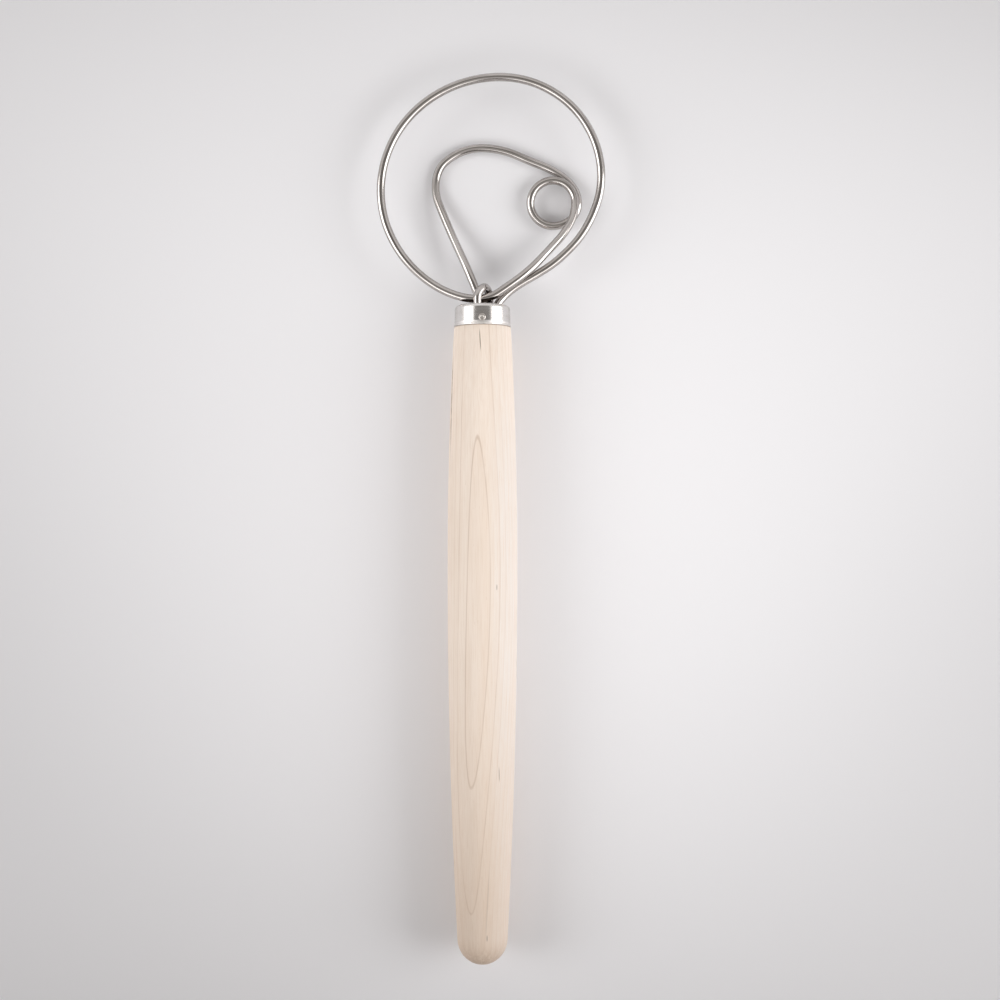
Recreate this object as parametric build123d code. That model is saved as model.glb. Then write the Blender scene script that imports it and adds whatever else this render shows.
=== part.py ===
from build123d import *
import math
import os

# Dough whisk: one bent steel wire whose two ends are held in a turned wooden handle,
# with a drawn metal ferrule over the end of the wood and one small nail through it.
# Lengths are in millimetres and angles in degrees.
# It lies flat as on a table: +Y runs from the handle to the wire head, +Z is up.
# While it is being built, X = 0 and Z = 0 are the handle's axis and Y = 0 is the
# ferrule's mouth. At the end it is moved so that its lowest point rests on Z = 0.

# Main sizes
HEAD_LENGTH = 79.9
HANDLE_LENGTH = 224.9
RING_WIDTH = 78.3
RING_OFFSET = 2.9

# Wire
WIRE_DIAMETER = 2.8
STRAND_GAP = 0.45
CURL_BORE = 12.7
RIGHT_LEG_OFFSET = 4.3
LEG_LENGTH = 32.0

# Ferrule
FERRULE_LENGTH = 7.2
FERRULE_TOP_RADIUS = 9.45
FERRULE_BOTTOM_RADIUS = 9.6
FERRULE_WALL = 0.5
SHOULDER_RADIUS = 1.3
MOUTH_RADIUS = 7.6
BEAD_WIDTH = 0.6
BEAD_RISE = 0.12

# Handle
NECK_RADIUS = 9.7
BELLY_RADIUS = 11.95
BELLY_PLACE = 88.0
TIP_RADIUS = 8.6
FACE_RECESS = 2.6
FACE_CHAMFER = 0.4

# Nail
NAIL_PLACE = 4.9
NAIL_LENGTH = 2.6
NAIL_RADIUS = 0.6
NAIL_HEAD_RADIUS = 1.2
NAIL_HEAD_RISE = 0.4
NAIL_HEAD_EDGE = 0.15

# Clearances
TENON_CLEARANCE = 0.05
SEAT_CLEARANCE = 0.05
BORE_CLEARANCE = 0.05
NAIL_CLEARANCE = 0.04
BORE_END_CLEARANCE = 0.5

# Below this angle in degrees an arc is drawn as a line
STRAIGHT_ANGLE = 0.05
# How many points the gap between strands is measured on
GAP_POINTS = 1000

# Worked out from the sizes above
wire_radius = WIRE_DIAMETER / 2
ring_half_width = (RING_WIDTH - WIRE_DIAMETER) / 2
ring_length = HEAD_LENGTH - wire_radius
strand_pitch = WIRE_DIAMETER + STRAND_GAP
rest_depth = BELLY_RADIUS - wire_radius
curl_radius = CURL_BORE / 2 + wire_radius

# The wire's course is a row of stations. Each station has a place and a heading, and
# two tangent arcs join it to the next, so the whole wire is smooth.
# Columns: across, a share of the ring's half width from the ring's middle; along, a share
# of the ring's length from the mouth; sink, a share of the depth from the handle's axis
# down to a strand that lies on the table; lift, a share of the distance between two
# strands that cross; then the heading, counterclockwise from +X as seen from above.
RING_SHARES = [
    (0.129, 0.050, 0.0, -0.34, 44),
    (0.328, 0.119, 0.0, -0.60, 30),
    (0.620, 0.210, 0.0, -0.37, 40.5),
    (0.856, 0.338, 0.0, -0.15, 59),
    (1.000, 0.564, 0.0, 0.0, 90),
    (0.082, 1.000, 0.0, 0.0, 180),
    (-1.000, 0.503, 0.0, 0.0, 270),
    (-0.698, 0.161, 0.0, 0.18, 315),
    (-0.325, 0.046, 0.0, 0.46, 341),
    (-0.099, 0.030, 0.0, 0.54, 363),
]
STEM_SHARES = [
    (0.227, 0.110, 0.0, 0.42, 36.5),
    (0.612, 0.296, 0.5, 0.58, 48.5),
]
CURL_PLACE_SHARES = (0.568, 0.474)
CURL_LIFT_SHARE = 1.12
CURL_DROP_SHARE = 0.26
CURL_TAIL_SHARES = (0.806, 0.478)
LOOP_SHARES = [
    (0.653, 0.600, 1.0, 0.0, 145),
    (0.230, 0.694, 0.92, 0.0, 156.5),
    (-0.076, 0.724, 0.89, 0.0, 180),
    (-0.470, 0.650, 1.0, 0.0, 226),
    (-0.525, 0.561, 0.99, 0.0, 268),
    (-0.446, 0.435, 0.815, 0.0, 293),
    (-0.139, 0.076, 0.0, -0.71, 291),
]
# The hitch that ties the wire's second end round the strand that crosses the mouth.
# Columns: X, Y and Z from the crossing in strand pitches, then heading and climb.
HITCH_SHARES = [
    (-0.10, -0.02, -1.31, 289, 0),
    (0.43, -0.43, -1.37, 360, 0),
    (1.03, 0.14, -1.18, 93, 8),
    (0.54, 1.17, 0.02, 180, 69),
    (-0.25, -0.14, 1.01, 270, 0),
]


def place(across, along, sink, lift):
    """The point of a station given as shares."""
    x = RING_OFFSET + across * ring_half_width
    y = along * ring_length
    z = lift * strand_pitch - sink * rest_depth
    return Vector(x, y, z)


def direction(heading, climb):
    """The unit vector of a heading and a climb in degrees."""
    flat = math.cos(math.radians(climb))
    x = flat * math.cos(math.radians(heading))
    y = flat * math.sin(math.radians(heading))
    return Vector(x, y, math.sin(math.radians(climb)))


def curl_stations():
    """One full turn, a quarter turn at a time, that drops by about one strand pitch."""
    across, along = CURL_PLACE_SHARES
    stations = []
    for quarter in range(4):
        lift = CURL_LIFT_SHARE - quarter * CURL_DROP_SHARE
        middle = place(across, along, 1.0, lift)
        heading = 90 * (quarter + 1)
        stations.append((middle - direction(heading + 90, 0) * curl_radius, heading, None))
    tail_lift = CURL_LIFT_SHARE - 4 * CURL_DROP_SHARE
    stations.append((place(*CURL_TAIL_SHARES, 1.0, tail_lift), 90, None))
    return stations


def route_stations():
    """Every station from the end in the right bore to the end in the front bore."""
    right_leg = Vector(RIGHT_LEG_OFFSET, 0, 0)
    leg_end = Vector(0, -LEG_LENGTH, 0)
    face = Vector(0, -FACE_RECESS, 0)
    stations = [(right_leg + leg_end, 90, 0), (right_leg + face, 90, 0)]
    stations += [(place(*row[:4]), row[4], None) for row in RING_SHARES]
    crossing = stations[-1][0]
    stations += [(place(*row[:4]), row[4], None) for row in STEM_SHARES]
    stations += curl_stations()
    stations += [(place(*row[:4]), row[4], None) for row in LOOP_SHARES]
    for x, y, z, heading, climb in HITCH_SHARES:
        stations.append((crossing + Vector(x, y, z) * strand_pitch, heading, climb))
    front_leg = stations[-1][0]
    front_leg = Vector(front_leg.X, 0, front_leg.Z)
    stations += [(front_leg + face, 270, 0), (front_leg + leg_end, 270, 0)]
    return stations


def tangents(stations):
    """The wire's direction at each station; a climb left open follows its neighbours."""
    result = []
    for index, (point, heading, climb) in enumerate(stations):
        if climb is None:
            before = point - stations[index - 1][0]
            after = stations[index + 1][0] - point
            run_before = math.hypot(before.X, before.Y)
            run_after = math.hypot(after.X, after.Y)
            rise = before.Z * run_after / run_before + after.Z * run_before / run_after
            climb = math.degrees(math.atan2(rise, run_before + run_after))
        result.append(direction(heading, climb))
    return result


def middle_of_biarc(start, start_dir, end, end_dir):
    """The point where two tangent arcs between two stations meet, and the direction there."""
    chord = end - start
    both = start_dir + end_dir
    spread = 2 * (1 - start_dir.dot(end_dir))
    reach = chord.dot(both)
    if spread < 1e-9:
        handle = chord.dot(chord) / (2 * reach)
    else:
        handle = (math.sqrt(reach * reach + spread * chord.dot(chord)) - reach) / spread
    middle = (start + end + (start_dir - end_dir) * handle) * 0.5
    middle_dir = (end - end_dir * handle) - (start + start_dir * handle)
    return middle, middle_dir.normalized()


def arc_or_line(start, start_dir, end):
    """A tangent arc, or a line where the arc would be all but straight."""
    if start_dir.get_angle(end - start) < STRAIGHT_ANGLE:
        return Line(start, end)
    return TangentArc(start, end, tangent=start_dir)


def wire_path():
    """The centre line of the whole wire."""
    stations = route_stations()
    directions = tangents(stations)
    edges = []
    for index in range(len(stations) - 1):
        start = stations[index][0]
        end = stations[index + 1][0]
        middle, middle_dir = middle_of_biarc(start, directions[index], end, directions[index + 1])
        edges.append(arc_or_line(start, directions[index], middle))
        edges.append(arc_or_line(middle, middle_dir, end))
    return Wire([edge.edge() for edge in edges])


def make_wire(path):
    """A round section swept along the centre line."""
    section = Plane(origin=path @ 0, z_dir=path % 0) * Circle(wire_radius)
    return sweep(section, path=path)


def ferrule_radius(y):
    """The ferrule's outer radius at a distance y below its mouth."""
    share = y / FERRULE_LENGTH
    return FERRULE_TOP_RADIUS + (FERRULE_BOTTOM_RADIUS - FERRULE_TOP_RADIUS) * share


def nail_hole():
    """The nail's hole, through the ferrule and into the wood."""
    depth = NAIL_LENGTH + BORE_END_CLEARANCE
    hole = Cylinder(NAIL_RADIUS + NAIL_CLEARANCE, depth, align=(Align.CENTER, Align.CENTER, Align.MAX))
    return Pos(0, -NAIL_PLACE, ferrule_radius(NAIL_PLACE) + BORE_END_CLEARANCE / 2) * hole


def make_ferrule():
    """A drawn sleeve with a rounded shoulder turned in at the mouth and a bead at its foot."""
    top = FERRULE_TOP_RADIUS
    foot = FERRULE_BOTTOM_RADIUS
    corner = top - SHOULDER_RADIUS
    inner = top - FERRULE_WALL
    bend = Vector(math.cos(math.radians(45)), math.sin(math.radians(45)))
    centre = Vector(corner, -SHOULDER_RADIUS)
    outline = [
        Line((foot, BEAD_WIDTH - FERRULE_LENGTH), (top, -SHOULDER_RADIUS)),
        ThreePointArc((top, -SHOULDER_RADIUS), centre + bend * SHOULDER_RADIUS, (corner, 0)),
        Line((corner, 0), (MOUTH_RADIUS, 0)),
        Line((MOUTH_RADIUS, 0), (MOUTH_RADIUS, -FERRULE_WALL)),
        Line((MOUTH_RADIUS, -FERRULE_WALL), (corner, -FERRULE_WALL)),
        ThreePointArc(
            (corner, -FERRULE_WALL),
            centre + bend * (SHOULDER_RADIUS - FERRULE_WALL),
            (inner, -SHOULDER_RADIUS),
        ),
        Line((inner, -SHOULDER_RADIUS), (foot - FERRULE_WALL, -FERRULE_LENGTH)),
        Line((foot - FERRULE_WALL, -FERRULE_LENGTH), (foot, -FERRULE_LENGTH)),
        ThreePointArc(
            (foot, -FERRULE_LENGTH),
            (foot + BEAD_RISE, BEAD_WIDTH / 2 - FERRULE_LENGTH),
            (foot, BEAD_WIDTH - FERRULE_LENGTH),
        ),
    ]
    sleeve = revolve(make_face(Curve() + outline), Axis.Y)
    return sleeve - nail_hole()


def handle_outline():
    """Half the handle's section: tenon, shoulder, neck, belly, taper and round tip."""
    gap = FERRULE_WALL + TENON_CLEARANCE
    face_radius = ferrule_radius(FACE_RECESS) - gap
    tenon_radius = ferrule_radius(FERRULE_LENGTH) - gap
    shoulder = -FERRULE_LENGTH - SEAT_CLEARANCE
    tip_centre = TIP_RADIUS - HANDLE_LENGTH
    # The taper is the arc that leaves the belly level and runs tangent into the round tip.
    run = -BELLY_PLACE - tip_centre
    taper = (BELLY_RADIUS**2 + run**2 - TIP_RADIUS**2) / (2 * (BELLY_RADIUS - TIP_RADIUS))
    turn = math.asin(run / (taper - TIP_RADIUS))
    blend = Vector(math.cos(turn), -math.sin(turn)) * TIP_RADIUS + Vector(0, tip_centre)
    halfway = Vector(math.cos(turn / 2), -math.sin(turn / 2)) * taper
    taper_middle = halfway + Vector(BELLY_RADIUS - taper, -BELLY_PLACE)
    tip_turn = (turn + math.radians(90)) / 2
    tip_middle = Vector(math.cos(tip_turn), -math.sin(tip_turn)) * TIP_RADIUS + Vector(0, tip_centre)
    return [
        Line((0, -FACE_RECESS), (face_radius - FACE_CHAMFER, -FACE_RECESS)),
        Line((face_radius - FACE_CHAMFER, -FACE_RECESS), (face_radius, -FACE_RECESS - FACE_CHAMFER)),
        Line((face_radius, -FACE_RECESS - FACE_CHAMFER), (tenon_radius, shoulder)),
        Line((tenon_radius, shoulder), (NECK_RADIUS, shoulder)),
        TangentArc((BELLY_RADIUS, -BELLY_PLACE), (NECK_RADIUS, shoulder), tangent=(0, 1)),
        ThreePointArc((BELLY_RADIUS, -BELLY_PLACE), taper_middle, blend),
        ThreePointArc(blend, tip_middle, (0, -HANDLE_LENGTH)),
        Line((0, -HANDLE_LENGTH), (0, -FACE_RECESS)),
    ]


def make_handle(path):
    """The turned handle, bored for both ends of the wire and for the nail."""
    body = revolve(make_face(Curve() + handle_outline()), Axis.Y)
    bore = Cylinder(
        wire_radius + BORE_CLEARANCE,
        LEG_LENGTH + BORE_END_CLEARANCE,
        rotation=(90, 0, 0),
        align=(Align.CENTER, Align.CENTER, Align.MIN),
    )
    for leg in (path @ 0, path @ 1):
        body -= Pos(leg.X, 0, leg.Z) * bore
    return body - nail_hole()


def make_nail():
    """A short nail with a low domed head that rests on the ferrule."""
    seat = ferrule_radius(NAIL_PLACE) + SEAT_CLEARANCE
    brim = seat + NAIL_HEAD_EDGE
    crown = seat + NAIL_HEAD_RISE
    dome_rise = NAIL_HEAD_RISE - NAIL_HEAD_EDGE
    dome = (NAIL_HEAD_RADIUS**2 + dome_rise**2) / (2 * dome_rise)
    half_turn = math.asin(NAIL_HEAD_RADIUS / dome) / 2
    dome_middle = (dome * math.sin(half_turn), crown - dome + dome * math.cos(half_turn))
    outline = [
        Line((0, seat - NAIL_LENGTH), (NAIL_RADIUS / 2, seat - NAIL_LENGTH)),
        Line((NAIL_RADIUS / 2, seat - NAIL_LENGTH), (NAIL_RADIUS, seat - NAIL_LENGTH + NAIL_RADIUS)),
        Line((NAIL_RADIUS, seat - NAIL_LENGTH + NAIL_RADIUS), (NAIL_RADIUS, seat)),
        Line((NAIL_RADIUS, seat), (NAIL_HEAD_RADIUS, seat)),
        Line((NAIL_HEAD_RADIUS, seat), (NAIL_HEAD_RADIUS, brim)),
        ThreePointArc((NAIL_HEAD_RADIUS, brim), dome_middle, (0, crown)),
        Line((0, crown), (0, seat - NAIL_LENGTH)),
    ]
    upright = revolve(make_face(Curve() + outline), Axis.Y)
    return Pos(0, -NAIL_PLACE, 0) * (Rot(90, 0, 0) * upright)


def least_gap(path):
    """The least gap between two strands of the wire, measured on points."""
    step = path.length / GAP_POINTS
    points = [path @ (index / GAP_POINTS) for index in range(GAP_POINTS + 1)]
    apart = math.ceil(math.pi * strand_pitch / step)
    least = math.inf
    for index, point in enumerate(points):
        for other in points[index + apart:]:
            least = min(least, (point - other).length)
    return least - WIRE_DIAMETER


def main():
    """Build every piece, rest the part on Z = 0 and write one file for each piece."""
    path = wire_path()
    pieces = {
        "whisk_wire": make_wire(path),
        "ferrule": make_ferrule(),
        "ferrule_nail": make_nail(),
        "handle": make_handle(path),
    }
    box = pieces["whisk_wire"].bounding_box().add(pieces["handle"].bounding_box())
    middle = box.center()
    rest = Pos(-middle.X, -middle.Y, -box.min.Z)
    os.makedirs("parts", exist_ok=True)
    for name, piece in pieces.items():
        export_step(rest * piece, f"parts/{name}.step")
    swept = math.pi * wire_radius**2 * path.length
    print("wire length", round(path.length, 2), "least gap", round(least_gap(path), 3))
    print("wire volume over section times length", round(pieces["whisk_wire"].volume / swept, 5))
    print("overall size", box.size)
    print("handle axis and mouth in the finished frame", rest.position)


main()
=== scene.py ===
# %% [markdown]
# A dough whisk lies on a table: one bent steel wire, a short ferrule with one nail, and a
# turned wooden handle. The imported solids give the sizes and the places. This lesson builds
# the looks on top of them: a smooth wire, a drawn ferrule, a nail head and grained wood.
# Everything is in metres, and a value named in millimetres is turned into metres by `at`.

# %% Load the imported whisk
import math

import bmesh
import bpy
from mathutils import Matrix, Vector


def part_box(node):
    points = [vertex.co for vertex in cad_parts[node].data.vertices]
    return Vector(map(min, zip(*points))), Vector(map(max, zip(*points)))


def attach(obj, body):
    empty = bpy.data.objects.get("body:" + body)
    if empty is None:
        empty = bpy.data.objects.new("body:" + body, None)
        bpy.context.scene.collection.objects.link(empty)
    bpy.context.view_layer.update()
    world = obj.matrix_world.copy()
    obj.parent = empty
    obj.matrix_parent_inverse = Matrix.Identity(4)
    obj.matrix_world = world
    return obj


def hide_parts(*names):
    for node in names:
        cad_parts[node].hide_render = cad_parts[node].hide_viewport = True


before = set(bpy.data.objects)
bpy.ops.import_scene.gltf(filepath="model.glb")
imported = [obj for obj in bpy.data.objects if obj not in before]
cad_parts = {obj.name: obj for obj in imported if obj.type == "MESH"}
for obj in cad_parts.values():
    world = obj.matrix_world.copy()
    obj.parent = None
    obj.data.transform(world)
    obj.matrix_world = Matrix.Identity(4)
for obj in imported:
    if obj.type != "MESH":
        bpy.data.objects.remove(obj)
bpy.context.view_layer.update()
ferrule_low, ferrule_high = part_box("ferrule")

# %% [markdown]
# The whisk has a natural measuring point: the middle of the ferrule's mouth. Its place comes
# from the ferrule's own box, so nothing here has to be fitted by eye. From there X goes to
# the side, Y along the handle and up to the ring, and Z up from the table.

# %% Measure from the middle of the ferrule's mouth
MM = 0.001
mouth = Vector((
    (ferrule_low.x + ferrule_high.x) / 2,
    ferrule_high.y,
    (ferrule_low.z + ferrule_high.z) / 2,
))


def at(x, y, z):
    """A point in millimetres from the middle of the mouth, in the whisk's own frame."""
    return mouth + Vector((x, y, z)) * MM


print("middle of the mouth", [round(value, 5) for value in mouth])

# %% [markdown]
# The photograph looks straight down. The camera's height was found from the wire: strands
# that lie lower look smaller. At 450 mm above the handle's axis the frame takes in 342 mm,
# and that pair of numbers gives the lens angle. The middle of the picture is measured from
# the mouth like everything else.

# %% Camera
CAMERA_HEIGHT = 450.0
FRAME_WIDTH = 342.4
PICTURE_MIDDLE = (5.99, -66.32)

camera_data = bpy.data.cameras.new("camera")
camera_data.angle = 2 * math.atan(FRAME_WIDTH / 2 / CAMERA_HEIGHT)
camera_data.clip_start = 0.01
camera = bpy.data.objects.new("camera", camera_data)
camera.location = at(*PICTURE_MIDDLE, CAMERA_HEIGHT)
bpy.context.scene.collection.objects.link(camera)
bpy.context.scene.camera = camera
print("lens angle", round(math.degrees(camera_data.angle), 2))

# %% [markdown]
# Polished metal shows the lamps themselves. The photograph's ferrule has two white bands
# with a grey one between, so there is a long softbox on each side and a dimmer room
# overhead. They also give the wood its shape, and the right one is stronger. White lines
# run round the ring and the loops as well, down to the mouth, so two weaker softboxes
# stand beyond the near end and face the head. All four have a narrow spread, because the
# table grows darker towards the ends of the whisk.
#
# Each lamp faces its aim, a point on the Y axis, from an azimuth and a tilt in degrees. The
# columns of a row are name, aim, azimuth, tilt, length, height, power and spread.

# %% Four softboxes
LAMP_DISTANCE = 0.44
SOFTBOXES = [
    ("softbox_left", 0.02, 180, 59, 0.48, 0.32, 0.235, 58),
    ("softbox_right", -0.03, 0, 63, 0.48, 0.38, 0.475, 76),
    ("softbox_near_left", 0.16, -128, 50, 0.46, 0.14, 0.090, 75),
    ("softbox_near_right", 0.16, -47, 50, 0.42, 0.14, 0.077, 75),
]


def softbox(name, aim, azimuth, tilt, length, height, power, spread):
    """A rectangular lamp that faces its aim; the camera doesn't see it."""
    lamp = bpy.data.lights.new(name, "AREA")
    lamp.shape = "RECTANGLE"
    lamp.size = length
    lamp.size_y = height
    lamp.spread = math.radians(spread)
    lamp.energy = power
    lean, turn = math.radians(tilt), math.radians(azimuth)
    flat = math.sin(lean)
    outwards = Vector((flat * math.cos(turn), flat * math.sin(turn), math.cos(lean)))
    holder = bpy.data.objects.new(name, lamp)
    holder.location = Vector((0, aim, 0)) + outwards * LAMP_DISTANCE
    holder.rotation_euler = outwards.to_track_quat("Z", "Y").to_euler()
    holder.visible_camera = False
    bpy.context.scene.collection.objects.link(holder)
    return holder


for row in SOFTBOXES:
    lamp_holder = softbox(*row)
    print(lamp_holder.name, "at", [round(value, 3) for value in lamp_holder.location])

# %% [markdown]
# Shader trees are long to write by hand, so small helpers come first. `paint` turns a colour
# as a picture program shows it into the linear values that a renderer works with. `add`
# makes one node and fills its inputs: a socket is linked, and anything else is set. The rest
# are short names for what every tree here needs, such as a stretched noise, a soft step
# from one value to another, or one colour laid over another.

# %% Helpers for materials


def paint(red, green, blue):
    """A colour of 0 to 255 values as a linear colour with full alpha."""
    shares = [value / 255 for value in (red, green, blue)]
    linear = [s / 12.92 if s <= 0.04045 else ((s + 0.055) / 1.055) ** 2.4 for s in shares]
    return (*linear, 1.0)


def add(tree, kind, inputs=None, **settings):
    """Make a node, set its properties, and link or set its inputs."""
    made = tree.nodes.new(kind)
    for name, value in settings.items():
        setattr(made, name, value)
    for key, value in (inputs or {}).items():
        if isinstance(value, bpy.types.NodeSocket):
            tree.links.new(value, made.inputs[key])
        else:
            made.inputs[key].default_value = value
    return made


def calculate(tree, operation, *values):
    """A maths node's result."""
    return add(tree, "ShaderNodeMath", dict(enumerate(values)), operation=operation).outputs[0]


def calculate_vector(tree, operation, *values):
    """The outputs of a maths node for vectors."""
    return add(tree, "ShaderNodeVectorMath", dict(enumerate(values)), operation=operation).outputs


def product(tree, result, *factors):
    """Two or more values multiplied."""
    for factor in factors:
        result = calculate(tree, "MULTIPLY", result, factor)
    return result


def smooth_step(tree, value, low, high, low_result=0.0, high_result=1.0):
    """A soft change from one result to the other while the value goes from low to high."""
    limits = {
        "Value": value,
        "From Min": low,
        "From Max": high,
        "To Min": low_result,
        "To Max": high_result,
    }
    return add(tree, "ShaderNodeMapRange", limits, interpolation_type="SMOOTHSTEP").outputs[0]


def noise(tree, place, stretch, detail):
    """A noise with its own fineness in each direction."""
    scaled = add(tree, "ShaderNodeMapping", {"Vector": place, "Scale": stretch}).outputs[0]
    inputs = {"Vector": scaled, "Scale": 1.0, "Detail": detail}
    return add(tree, "ShaderNodeTexNoise", inputs).outputs[0]


def mix(tree, share, below, above):
    """A colour laid over another in a share from 0 to 1."""
    return add(tree, "ShaderNodeMix", {0: share, 6: below, 7: above}, data_type="RGBA").outputs[2]


def parts(tree, vector):
    """The three numbers of a vector."""
    return add(tree, "ShaderNodeSeparateXYZ", {0: vector}).outputs


def seen_or_mirrored(tree):
    """1 for what the camera sees, straight or in a mirror or through glass, and 0 for light."""
    rays = add(tree, "ShaderNodeLightPath").outputs
    seen = calculate(tree, "MAXIMUM", rays["Is Camera Ray"], rays["Is Glossy Ray"])
    return calculate(tree, "MAXIMUM", seen, rays["Is Transmission Ray"])


def new_material(name):
    """An empty material with its tree and its main shader."""
    material = bpy.data.materials.new(name)
    material.use_nodes = True
    tree = material.node_tree
    tree.nodes.clear()
    shader = add(tree, "ShaderNodeBsdfPrincipled")
    add(tree, "ShaderNodeOutputMaterial", {"Surface": shader.outputs[0]})
    return material, tree, shader


def dress(tree, shader, colour, roughness, relief, strength, depth):
    """Give the main shader its colour, its roughness and a fine relief."""
    bump = add(tree, "ShaderNodeBump", {"Strength": strength, "Distance": depth, "Height": relief})
    tree.links.new(colour, shader.inputs["Base Color"])
    tree.links.new(roughness, shader.inputs["Roughness"])
    tree.links.new(bump.outputs[0], shader.inputs["Normal"])


print("a middle grey of 128 as linear light", round(paint(128, 128, 128)[0], 3))

# %% [markdown]
# The room is the world. Its light comes evenly from all round. What metal shows of it matters
# as much, and the wire tells what was there. It has a thin dark line in the middle of every
# strand and another below it, so the room is pale with two darker things in it: one straight
# above, a little ahead of the whisk, and one at the near end. Both are high up, so a camera
# that looks past the table sees only the pale walls.
#
# A direction is an arrow of length 1, and the limits below are its parts: sideways, ahead and
# upwards. Each thing in the room is a product of soft steps between two such limits.

# %% Room
ROOM_LIGHT = paint(144, 141, 139)
WALL_COLOUR = paint(244, 242, 241)
CEILING_COLOUR = paint(204, 201, 198)
DARK_COLOUR = paint(140, 137, 134)
NEAR_END_COLOUR = paint(134, 130, 128)

world = bpy.data.worlds.new("room")
world.use_nodes = True
bpy.context.scene.world = world
room_tree = world.node_tree
room_tree.nodes.clear()
direction = add(room_tree, "ShaderNodeTexCoord").outputs["Generated"]
sideways, ahead, elevation = parts(room_tree, direction)
aside = calculate(room_tree, "ABSOLUTE", sideways)
ceiling = smooth_step(room_tree, elevation, 0.76, 0.90)
dark_above = product(
    room_tree,
    smooth_step(room_tree, aside, 0.50, 0.62, 1.0, 0.0),
    smooth_step(room_tree, ahead, -0.02, 0.06),
    smooth_step(room_tree, ahead, 0.34, 0.46, 1.0, 0.0),
    smooth_step(room_tree, elevation, 0.3, 0.5),
)
near_end = product(
    room_tree,
    smooth_step(room_tree, aside, 0.25, 0.55, 1.0, 0.0),
    smooth_step(room_tree, ahead, -0.72, -0.60, 1.0, 0.0),
    smooth_step(room_tree, elevation, 0.20, 0.32),
)
walls = mix(room_tree, ceiling, WALL_COLOUR, CEILING_COLOUR)
walls = mix(room_tree, dark_above, walls, DARK_COLOUR)
walls = mix(room_tree, near_end, walls, NEAR_END_COLOUR)
room_colour = mix(room_tree, seen_or_mirrored(room_tree), ROOM_LIGHT, walls)
room = add(room_tree, "ShaderNodeBackground", {"Color": room_colour})
add(room_tree, "ShaderNodeOutputWorld", {"Surface": room.outputs[0]})
print("nodes of the room", len(room_tree.nodes))

# %% [markdown]
# The floor is plain and pale, a little cool like the cloth in the photograph. Near the whisk
# it is an ordinary surface that takes the shadows. The lamps are narrow, so further out it
# would be dark, and there it turns into a plain pale background, in the same way as the room.
# The change starts just outside the picture, on a square with round corners: a distance
# made of fourth powers instead of squares has that shape.

# %% Floor
FLOOR_SIDE = 6.0
FLOOR_COLOUR = paint(238, 237, 239)
FLOOR_ROUGHNESS = 0.9
FLOOR_SHINE = 0.1
FADE_START = 0.205
FADE_END = 0.33
CORNER_POWER = 4.0

half = FLOOR_SIDE / 2
floor_corners = [(-half, -half, 0), (half, -half, 0), (half, half, 0), (-half, half, 0)]
floor_mesh = bpy.data.meshes.new("floor")
floor_mesh.from_pydata(floor_corners, [], [(0, 1, 2, 3)])
floor = bpy.data.objects.new("floor", floor_mesh)
bpy.context.scene.collection.objects.link(floor)
floor_material, floor_tree, floor_shader = new_material("pale_floor")
floor_shader.inputs["Base Color"].default_value = FLOOR_COLOUR
floor_shader.inputs["Roughness"].default_value = FLOOR_ROUGHNESS
floor_shader.inputs["Specular IOR Level"].default_value = FLOOR_SHINE
spot = add(floor_tree, "ShaderNodeTexCoord").outputs["Object"]
east, north, _ = parts(floor_tree, spot)
powers = []
for way in (east, north):
    size = calculate(floor_tree, "ABSOLUTE", way)
    powers.append(calculate(floor_tree, "POWER", size, CORNER_POWER))
distance = calculate(floor_tree, "POWER", calculate(floor_tree, "ADD", *powers), 1 / CORNER_POWER)
far = smooth_step(floor_tree, distance, FADE_START, FADE_END)
faded = product(floor_tree, far, seen_or_mirrored(floor_tree))
glow = add(floor_tree, "ShaderNodeEmission", {"Color": WALL_COLOUR, "Strength": 1.0})
layers = {0: faded, 1: floor_shader.outputs[0], 2: glow.outputs[0]}
both = add(floor_tree, "ShaderNodeMixShader", layers).outputs[0]
floor_tree.links.new(both, floor_tree.nodes["Material Output"].inputs["Surface"])
floor_mesh.materials.append(floor_material)
print("floor fades from", FADE_START, "to", FADE_END, "metres")

# %% [markdown]
# The wire is drawn stainless steel. Pulling it through a die leaves fine lines that run along
# it, so the roughness and the bump are a noise stretched along the wire. The noise needs to
# follow the bends, so it reads two values that the wire's own builder stores on it: how far
# along a point is, and where it is round the section.

# %% Steel of the wire
WIRE_LINES = (2600, 2600, 60)
WIRE_SMUDGES = (400, 400, 90)
BRIGHT_WIRE = paint(189, 184, 181)
DULL_WIRE = paint(175, 170, 166)
SCORED_WIRE = paint(112, 105, 101)


def wire_steel():
    """Bright drawn steel with fine lines along the wire."""
    material, tree, shader = new_material("wire_steel")
    along = add(tree, "ShaderNodeAttribute", attribute_name="along").outputs["Fac"]
    around = add(tree, "ShaderNodeAttribute", attribute_name="around").outputs["Vector"]
    side, top, _ = parts(tree, around)
    place = add(tree, "ShaderNodeCombineXYZ", {0: side, 1: top, 2: along}).outputs[0]
    lines = noise(tree, place, WIRE_LINES, 3.0)
    smudges = noise(tree, place, WIRE_SMUDGES, 4.0)
    scored = smooth_step(tree, lines, 0.52, 0.66, 0.0, 0.45)
    colour = mix(tree, smooth_step(tree, smudges, 0.35, 0.7), BRIGHT_WIRE, DULL_WIRE)
    colour = mix(tree, scored, colour, SCORED_WIRE)
    roughness = smooth_step(tree, lines, 0.25, 0.75, 0.11, 0.21)
    dress(tree, shader, colour, roughness, lines, strength=0.12, depth=0.00002)
    shader.inputs["Metallic"].default_value = 1.0
    return material


wire_material = wire_steel()
print("nodes of the wire's steel", len(wire_material.node_tree.nodes))

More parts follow.
